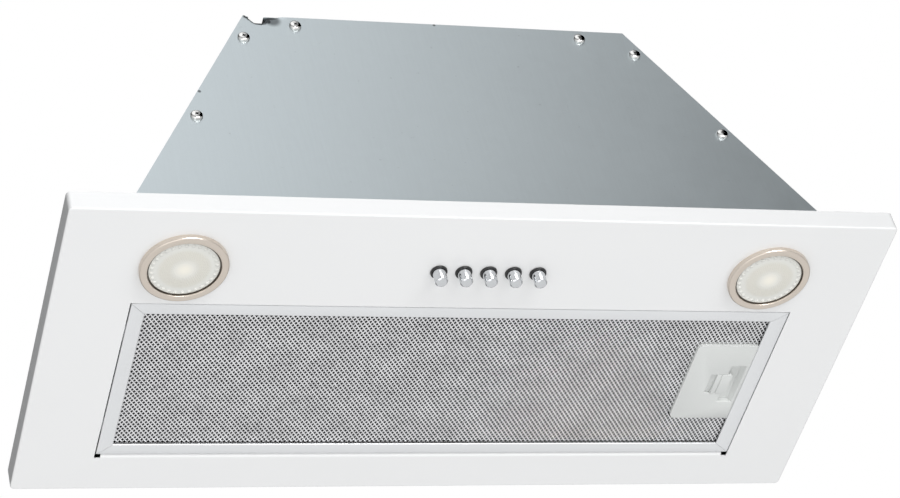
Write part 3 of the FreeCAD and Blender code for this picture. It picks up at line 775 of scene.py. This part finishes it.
# ------------------------------------------------------------------ lamps
LENS_LOW = -3.0
LENS_RISE = 1.0
BEAD_RINGS = [(19.3, 30, 1.4)]
BEAD_RINGS += [(r, round(4.6 * r), 0.40) for r in (14.6, 13.3, 12.0, 10.7, 9.4, 8.1, 6.8)]


def bezel_section():
    """Broad inner face, rounded outer rim and the sleeve that goes up through the panel."""
    outer_r, sleeve_r, bore_r, sleeve_top = 26.5, 23.6, 22.4, 6.0
    section = [(bore_r - 0.5, -1.0)]
    section += arc(bore_r, -2.9, 0.5, 180, 270, 3)
    section += [(23.8, -3.35)]
    section += arc(outer_r - 1.2, -2.2, 1.2, 270, 360, 8)
    section += [(outer_r, 0.0), (sleeve_r, 0.0), (sleeve_r, sleeve_top), (bore_r, sleeve_top),
                (bore_r, -1.0)]
    return section


def lens_height(r):
    """Height of the lens's lower face at a radius."""
    return LENS_LOW + LENS_RISE * (r / LENS_R) ** 2


def lens_section():
    """Shallow dome with fine concentric steps, and a groove between its edge and the bezel."""
    steps, step_pitch, step_height, stepped_from, stepped_to = 60, 1.3, 0.07, 5.0, 15.5
    flange_r, flange_top = 22.3, 0.2
    section = [(0.0, lens_height(0.0))]
    for k in range(1, steps + 1):
        r = GROOVE_R * k / steps
        stepped = stepped_from < r < stepped_to
        ripple = step_height * math.sin(r * 2 * math.pi / step_pitch) if stepped else 0.0
        section.append((r, lens_height(r) + ripple))
    section += [(GROOVE_R + GROOVE_WIDTH, -1.2), (LENS_R, -1.1), (LENS_R, -0.9),
                (flange_r, -0.9), (flange_r, flange_top), (0.0, flange_top)]
    return section


def add_lamp(side, word):
    """Bezel and beaded lens of one lamp; side is -1 for the left and 1 for the right."""
    x = side * LAMP_X
    points, faces = turned_mesh(bezel_section(), x, LAMP_Y, 128)
    bezel = piece_from(word + "_bezel_ring", points, faces, "satin_bezel", SOFT_EDGE)
    stand_for(bezel, "hood", "satin_bezel", word + "_lamp_bezel")
    points, faces = turned_mesh(lens_section(), x, LAMP_Y, 96)
    parts = [piece_from(word + "_lens_disc", points, faces, "cream_lens", 50.0)]
    for ring_r, beads, bead_r in BEAD_RINGS:
        circle = blank(word + "_beads")
        BEAD_LAYOUT.run(circle, Ring_radius=ring_r * MM, Beads=beads, Bead_radius=bead_r * MM,
                        Flatness=0.5, Centre=place(x, LAMP_Y, lens_height(ring_r) + 0.1),
                        Finish=FINISHES["cream_lens"])
        parts.append(circle)
    lens = one_piece(word + "_lamp_glass", parts)
    stand_for(lens, "hood", "cream_lens", word + "_lamp_lens")


add_lamp(-1, "left")
add_lamp(1, "right")


# ------------------------------------------------------------------ push buttons
BUTTON_X = 1.5
BUTTON_Y = -76.8
BUTTON_PITCH = 15.8
BUTTONS = ("light_button", "stop_button", "low_speed_button", "medium_speed_button",
           "high_speed_button")


def cap_section():
    """Chamfered cap with a stop flange above the panel and a stem up into the switch."""
    cap_r, flange_r, stem_r, cap_low, flange_low, flange_top = 4.0, 5.3, 1.5, -9.8, 7.8, 9.3
    return [(0.0, cap_low), (2.9, cap_low), (3.1, -9.72), (3.85, -8.95), (cap_r, -8.7),
            (cap_r, flange_low), (flange_r, flange_low), (flange_r, flange_top),
            (stem_r, flange_top), (stem_r, 23.5), (0.0, 23.5)]


def collar_section():
    """Thin sleeve through the panel with a rounded rim below it."""
    bore_r, outer_r, neck_r, top = 4.15, 5.3, 4.95, 7.5
    section = [(bore_r, top), (bore_r, -0.9)]
    section += arc(bore_r + 0.4, -0.9, 0.4, 180, 270, 3)
    section += arc(outer_r - 0.5, -0.8, 0.5, 270, 360, 4)
    return section + [(outer_r, 0.0), (neck_r, 0.0), (neck_r, top)]


def add_buttons():
    """Five caps, each on its own body, and their collars as one piece on the panel."""
    collars = []
    for step, button in enumerate(BUTTONS):
        x = BUTTON_X + (step - len(BUTTONS) // 2) * BUTTON_PITCH
        points, faces = turned_mesh(cap_section(), x, BUTTON_Y, 48)
        cap = piece_from(button + "_cap", points, faces, "chrome_caps", SOFT_EDGE)
        stand_for(cap, button, "chrome_caps", button)
        points, faces = turned_mesh(collar_section(), x, BUTTON_Y, 48)
        collars.append(piece_from("collar", points, faces, "black_plastic", SOFT_EDGE))
    row = one_piece("button_collar_row", collars)
    stand_for(row, "hood", "black_plastic", "button_collars")


add_buttons()


# ------------------------------------------------------------------ grease filter
# Frame first, then its two catch tongues, the mesh sheets and the core. The gaps are where the
# latch plate sits.
FRAME_LEFT = -211.4
FRAME_RIGHT = 211.95
FRAME_FRONT = -44.7
FRAME_REAR = 90.0
RIM = 8.8
LEFT_RIM = 9.3
RIGHT_RIM = 10.5
RAIL_LOW = 0.3
RAIL_HIGH = 10.0
MITRE = 0.12
TONGUE_TIP = -221.0
TONGUE_HEIGHTS = (2.4, 3.4)
TONGUE_WIDTH = 13.0
TONGUE_STARTS = (-24.0, 58.0)
MESH_TUCK = 2.2
MESH_GAP_LOW = (159.4, -14.2)
MESH_GAP_HIGH = (230.0, 55.8)
CORE_LEFT = -209.0
CORE_FRONT = -42.5
CORE_SIZE = (418.0, 132.0)
CORE_STEPS = (140, 66)
CORE_MID = 4.9
CORE_THICK = 0.9
CORE_GAP_LOW = (159.5, -13.2)
CORE_GAP_REAR = 56.6


def rail_section():
    """Channel section: share of the rim's width, height. The lower edges are rolled."""
    low, high = RAIL_LOW, RAIL_HIGH
    outer_roll, inner_roll, face_wall, wall = 0.7, 0.8, 1.4, 1.0
    section = [(0.0, high)] + arc(outer_roll, low + outer_roll, outer_roll, 180, 270, 5)
    section += [(RIM * 0.5, low)]
    section += arc(RIM - inner_roll, low + inner_roll, inner_roll, 270, 360, 4)
    section += [(RIM - 0.3, low + face_wall), (1.2, low + face_wall), (wall, high - wall),
                (RIM, high - wall), (RIM, high)]
    return [(d / RIM, up) for d, up in section]


def add_rail(name, finish):
    """One mitred rail, its ends cut back a hair so that the joint shows."""
    section = rail_section()
    points = []
    for end in (-1, 1):
        for share, up in section:
            left, right = FRAME_LEFT + share * LEFT_RIM, FRAME_RIGHT - share * RIGHT_RIM
            front, rear = FRAME_FRONT + share * RIM, FRAME_REAR - share * RIM
            if name in ("front", "rear"):
                x = left + MITRE if end < 0 else right - MITRE
                points.append((x, front if name == "front" else rear, up))
            else:
                y = front + MITRE if end < 0 else rear - MITRE
                points.append((left if name == "left" else right, y, up))
    n = len(section)
    faces = [(k, (k + 1) % n, n + (k + 1) % n, n + k) for k in range(n)]
    faces += [tuple(reversed(range(n))), tuple(range(n, 2 * n))]
    if name in ("front", "right"):
        faces = [tuple(reversed(face)) for face in faces]
    rail = piece_from("filter_rail_" + name, points, faces, finish, SOFT_EDGE)
    if name == "left":
        low, high = TONGUE_HEIGHTS
        root = FRAME_LEFT + 0.6
        tongues = [plain_block((TONGUE_TIP, y, low), (root, y + TONGUE_WIDTH, high), finish)
                   for y in TONGUE_STARTS]
        rail = one_piece("filter_rail_left_tongued", [rail] + tongues)
    return stand_for(rail, "filter", "filter_aluminium", "filter_" + name + "_rail")


def plain_block(low, high, finish):
    """A block with softened edges."""
    points = [(x, y, z) for x in (low[0], high[0]) for y in (low[1], high[1])
              for z in (low[2], high[2])]
    faces = [(0, 1, 3, 2), (4, 6, 7, 5), (0, 4, 5, 1), (2, 3, 7, 6), (0, 2, 6, 4), (1, 5, 7, 3)]
    block = piece_from("block", points, faces, finish, smooth=0.0)
    soft = block.modifiers.new("soft", "BEVEL")
    soft.width = 0.2 * MM
    soft.segments = 2
    return settled(block)


add_rail("front", "filter_aluminium")
add_rail("rear", "filter_aluminium")
add_rail("left", "rail_aluminium_y")
add_rail("right", "rail_aluminium_y")


def strand_pattern(pitch_x, pitch_y, width, thick, leans):
    """A forked strand from one knot to the next two. Each leg is a flat-faced bar with its own
    lean, and the leg that rises to the right stands proud of the other, as stretched metal does."""
    points = []
    faces = []
    for side, lean, depth, share in ((-1, leans[0], 0.05, 0.55), (1, leans[1], -0.05, 0.46)):
        tilt = math.radians(lean)
        base = len(points)
        half = width * share
        for x, y in ((0.0, 0.0), (side * pitch_x / 2, pitch_y)):
            for u, v in ((-half, 0.0), (half, 0.0), (0.0, thick)):
                points.append((x, y + u * math.cos(tilt) - v * math.sin(tilt),
                               depth + u * math.sin(tilt) + v * math.cos(tilt)))
        bar = [(0, 1, 4, 3), (1, 2, 5, 4), (2, 0, 3, 5), (2, 1, 0), (3, 4, 5)]
        if side < 0:
            bar = [tuple(reversed(face)) for face in bar]
        faces += [tuple(base + k for k in face) for face in bar]
    return pattern_from("strand_pattern", points, faces)


def add_mesh_layer(name, node, up, pitch_x, pitch_y, width, thick, leans, seed):
    """One expanded mesh sheet that fills the frame round the latch."""
    strand = strand_pattern(pitch_x, pitch_y, width, thick, leans)
    covered = RIM - MESH_TUCK
    columns = int((FRAME_RIGHT - FRAME_LEFT - 2 * covered - 2.0) / pitch_x)
    rows = int((FRAME_REAR - FRAME_FRONT - 2 * covered) / pitch_y)
    thing = blank(name)
    corner_x = (FRAME_LEFT + FRAME_RIGHT - columns * pitch_x) / 2
    corner_y = (FRAME_FRONT + FRAME_REAR - rows * pitch_y) / 2
    MESH_LAYOUT.run(thing, Strand=strand, Columns=columns, Rows=rows, Pitch_X=pitch_x * MM,
                    Pitch_Y=pitch_y * MM, Corner=place(corner_x, corner_y, up),
                    Gap_low=place(*MESH_GAP_LOW, 0), Gap_high=place(*MESH_GAP_HIGH, 0),
                    Unevenness=0.06, Seed=seed, Finish=FINISHES["mesh_aluminium"])
    bpy.data.objects.remove(strand)
    return stand_for(thing, "filter", "mesh_aluminium", node)


add_mesh_layer("face_mesh_sheet", "filter_face_mesh", 2.65, 3.0, 2.0, 1.55, 0.35, (5, 3), 11)
add_mesh_layer("back_mesh_sheet", "filter_back_mesh", 8.3, 6.0, 4.0, 1.8, 0.35, (20, 6), 12)


def add_core():
    """Crumpled inner layers, drawn as one waved sheet with thickness, cut round the latch."""
    (wide, deep), (columns, rows) = CORE_SIZE, CORE_STEPS
    xs = [CORE_LEFT + wide * k / columns for k in range(columns + 1)]
    ys = [CORE_FRONT + deep * k / rows for k in range(rows + 1)]
    points = []
    for y in ys:
        for x in xs:
            wave = 0.75 * math.sin(x * 0.9) + 0.55 * math.sin(y * 1.1 + 0.4 * x)
            points.append((x, y, CORE_MID + wave))
    gap_x, gap_y = CORE_GAP_LOW
    faces = []
    for j in range(rows):
        for i in range(columns):
            if xs[i + 1] > gap_x and ys[j + 1] > gap_y and ys[j] < CORE_GAP_REAR:
                continue
            first = j * (columns + 1) + i
            above = first + columns + 1
            faces.append((first, first + 1, above + 1, above))
    sheet = piece_from("core_mesh_layers", points, faces, "core_mesh", 60.0)
    thick = sheet.modifiers.new("thick", "SOLIDIFY")
    thick.thickness = CORE_THICK * MM
    return stand_for(settled(sheet, 60.0), "filter", "mesh_aluminium", "filter_core_mesh")


add_core()


# ------------------------------------------------------------------ casing front sheet
NOTCH_DEPTH = 4.6
NOTCH_LEFT = (-124.6, -119.8)
NOTCH_RIGHT = (-115.4, -111.6)
ROLL_LEFT = (-125.9, -123.2)
ROLL_RIGHT = (-110.5, -101.0)
ROLL_IN = 2.2
ROLL_DROP = 4.0
RIM_BAND = 10.0
BAND_FOOT = CASING_HEIGHT - 17.0
UPRIGHT_WITHIN = 125.0
FOOT_REACH = 150.0
FOOT_DEPTH = 11.0

# Columns along the top edge and rows down from it, close together round the notch.
COLUMNS = (-127.0, -125.8, -124.8, -124.1, -123.6, -123.1, -122.6, -122.1, -121.5, -120.4, -118.8,
           -117.4, -116.6, -115.9, -115.2, -114.5, -113.8, -113.0, -112.0, -110.8, -109.4, -107.8,
           -106.0, -104.0, -101.5, -98.0, -80.0, -40.0, 0.0, 40.0, 80.0, 127.0)
ROWS = (0.0, 0.5, 1.0, 1.6, 2.3, 3.1, 4.0, 5.2, 7.0, RIM_BAND, 40.0, 90.0, 140.0)


def edge_at(up):
    """Half width of the casing at a height."""
    return CASING_FOOT + (CASING_HEAD - CASING_FOOT) * up / CASING_HEIGHT


def ease(value, low, high):
    """Smooth step from 0 at low to 1 at high."""
    t = min(1.0, max(0.0, (value - low) / (high - low)))
    return t * t * (3 - 2 * t)


def front_sheet_point(top_x, drop):
    """A point of the sheet. Near the rim it follows the notch, which stays upright; lower down
    the columns spread with the casing's slanted ends."""
    notch = min(ease(top_x, *NOTCH_LEFT), 1.0 - ease(top_x, *NOTCH_RIGHT))
    if drop < RIM_BAND:
        up = CASING_HEIGHT - NOTCH_DEPTH * notch - drop
    else:
        up = SHEET + (BAND_FOOT - SHEET) * (ROWS[-1] - drop) / (ROWS[-1] - RIM_BAND)
    upright = drop <= RIM_BAND and abs(top_x) < UPRIGHT_WITHIN
    x = top_x if upright else top_x * edge_at(up) / CASING_HEAD
    rolled = ease(top_x, *ROLL_LEFT) * (1.0 - ease(top_x, *ROLL_RIGHT))
    curl = ROLL_IN * rolled * max(0.0, 1.0 - drop / ROLL_DROP) ** 2
    return x, -CASING_FACE + curl, up


def add_front_sheet():
    """Flat end sheet with the cable notch at its top left, its rim rolled inwards."""
    points = [front_sheet_point(top_x, drop) for drop in ROWS for top_x in COLUMNS]
    wide = len(COLUMNS)
    faces = []
    for j in range(len(ROWS) - 1):
        for i in range(wide - 1):
            first = j * wide + i
            faces.append((first, first + wide, first + wide + 1, first + 1))
    sheet = piece_from("casing_front", points, faces, "zinc_sheet", 50.0)
    thick = sheet.modifiers.new("thick", "SOLIDIFY")
    thick.thickness = SHEET * MM
    thick.offset = -1.0
    settled(sheet, 30.0)
    foot = plain_block((-FOOT_REACH, -CASING_FACE + SHEET, SHEET),
                       (FOOT_REACH, -CASING_FACE + FOOT_DEPTH, 2 * SHEET), "zinc_sheet")
    whole = one_piece("casing_front_sheet", [sheet, foot])
    return stand_for(whole, "hood", "zinc_sheet", "front_sheet")


add_front_sheet()


# ------------------------------------------------------------------ studio and camera
# Soft light from all round: direction, cosine from it where it starts and where it is full,
# brightness at its start and at its full. The last two are dark screens.
FILL_LIGHT = (((0.0, -0.3, -1.0), -0.8, 1.0, 0.07, 0.68),
              ((1.0, 0.0, 0.0), -1.0, 1.0, 0.0, 0.10),
              ((-1.0, 0.1, -0.35), 0.2, 1.0, 0.0, 0.34),
              ((-0.12, -0.60, 0.80), 0.78, 0.97, 0.0, 1.14),
              ((0.70, -0.55, 0.46), 0.80, 0.95, 0.0, -0.38),
              ((-0.75, -0.10, 0.65), 0.55, 0.95, 0.0, -0.15))
FILL_TINT = (0.97, 0.985, 1.0, 1)
FLOOR_HALF_M = 12.0
FLOOR_UP_M = -5.2
FLOOR_GLOW = 0.57
CAMERA_AT_M = (-0.58226, -1.29705, -1.38298)
CAMERA_TURN = (132.9409, 13.1149, -15.3217)
CAMERA_LENS = 119.6
CAMERA_SHIFT = -0.111


def area_light(name, spot, target, size, power):
    """A softbox in metres and watts, aimed at a target."""
    data = bpy.data.lights.new(name, "AREA")
    data.shape = "RECTANGLE"
    data.size, data.size_y = size
    data.energy = power
    lamp = new_object(name, data)
    lamp.location = spot
    lamp.rotation_euler = (Vector(target) - Vector(spot)).to_track_quat("-Z", "Y").to_euler()


def add_fill():
    """Plain white to the camera; to the hood, the sum of the soft lights round it."""
    world = bpy.data.worlds.new("studio")
    world.use_nodes = True
    bpy.context.scene.world = world
    nodes, links = world.node_tree.nodes, world.node_tree.links
    shown = nodes["Background"]
    shown.inputs["Color"].default_value = (1, 1, 1, 1)
    shown.inputs["Strength"].default_value = 1.0
    fill = nodes.new("ShaderNodeBackground")
    fill.inputs["Color"].default_value = FILL_TINT
    heading = nodes.new("ShaderNodeTexCoord")
    brightness = None
    for direction, start, full, low, high in FILL_LIGHT:
        toward = nodes.new("ShaderNodeVectorMath")
        toward.operation = "DOT_PRODUCT"
        toward.inputs[1].default_value = Vector(direction).normalized()
        links.new(heading.outputs["Generated"], toward.inputs[0])
        ramp = nodes.new("ShaderNodeMapRange")
        ramp.interpolation_type = "SMOOTHSTEP"
        for socket, value in (("From Min", start), ("From Max", full), ("To Min", low),
                              ("To Max", high)):
            ramp.inputs[socket].default_value = value
        links.new(toward.outputs["Value"], ramp.inputs["Value"])
        if brightness is None:
            brightness = ramp.outputs["Result"]
            continue
        total = nodes.new("ShaderNodeMath")
        links.new(brightness, total.inputs[0])
        links.new(ramp.outputs["Result"], total.inputs[1])
        brightness = total.outputs[0]
    links.new(brightness, fill.inputs["Strength"])
    path = nodes.new("ShaderNodeLightPath")
    pick = nodes.new("ShaderNodeMixShader")
    links.new(path.outputs["Is Camera Ray"], pick.inputs[0])
    links.new(fill.outputs[0], pick.inputs[1])
    links.new(shown.outputs[0], pick.inputs[2])
    links.new(pick.outputs[0], nodes["World Output"].inputs[0])


def add_floor():
    """A pale floor far below, which the panel and the casing mirror."""
    floor = Finish("pale_floor", 0.9, Emission_Strength=FLOOR_GLOW)
    cloud = floor.noise(floor.spot(), 0.0006, 2.0)
    floor.feed("Base Color", floor.blend(cloud, (0.86, 0.86, 0.86), (0.9, 0.9, 0.9)))
    floor.feed("Emission Color", floor.blend(cloud, (0.98, 0.98, 0.98), (1.0, 1.0, 1.0)))
    half = FLOOR_HALF_M
    corners = [(x, y, FLOOR_UP_M) for x, y in ((-half, -half), (half, -half), (half, half),
                                               (-half, half))]
    mesh = bpy.data.meshes.new("studio_floor")
    mesh.from_pydata(corners, [], [(0, 1, 2, 3)])
    mesh.materials.append(floor.material)
    new_object("studio_floor", mesh)


def add_camera():
    """Long lens from below and from the front left, its centre shifted sideways."""
    data = bpy.data.cameras.new("camera")
    data.sensor_width = 36.0
    data.lens = CAMERA_LENS
    data.shift_x = CAMERA_SHIFT
    data.clip_end = 60.0
    camera = new_object("camera", data)
    camera.location = CAMERA_AT_M
    camera.rotation_euler = Euler([math.radians(a) for a in CAMERA_TURN], "XYZ")
    bpy.context.scene.camera = camera


area_light("front_softbox", (0.45, -2.6, -0.7), (0.0, -0.1, -0.18), (1.6, 0.8), 37)
area_light("lower_softbox", (-1.1, -1.3, -2.0), (0.0, 0.0, -0.18), (2.0, 1.4), 8.2)
add_fill()
add_floor()
add_camera()
bpy.context.scene.view_settings.view_transform = "Standard"
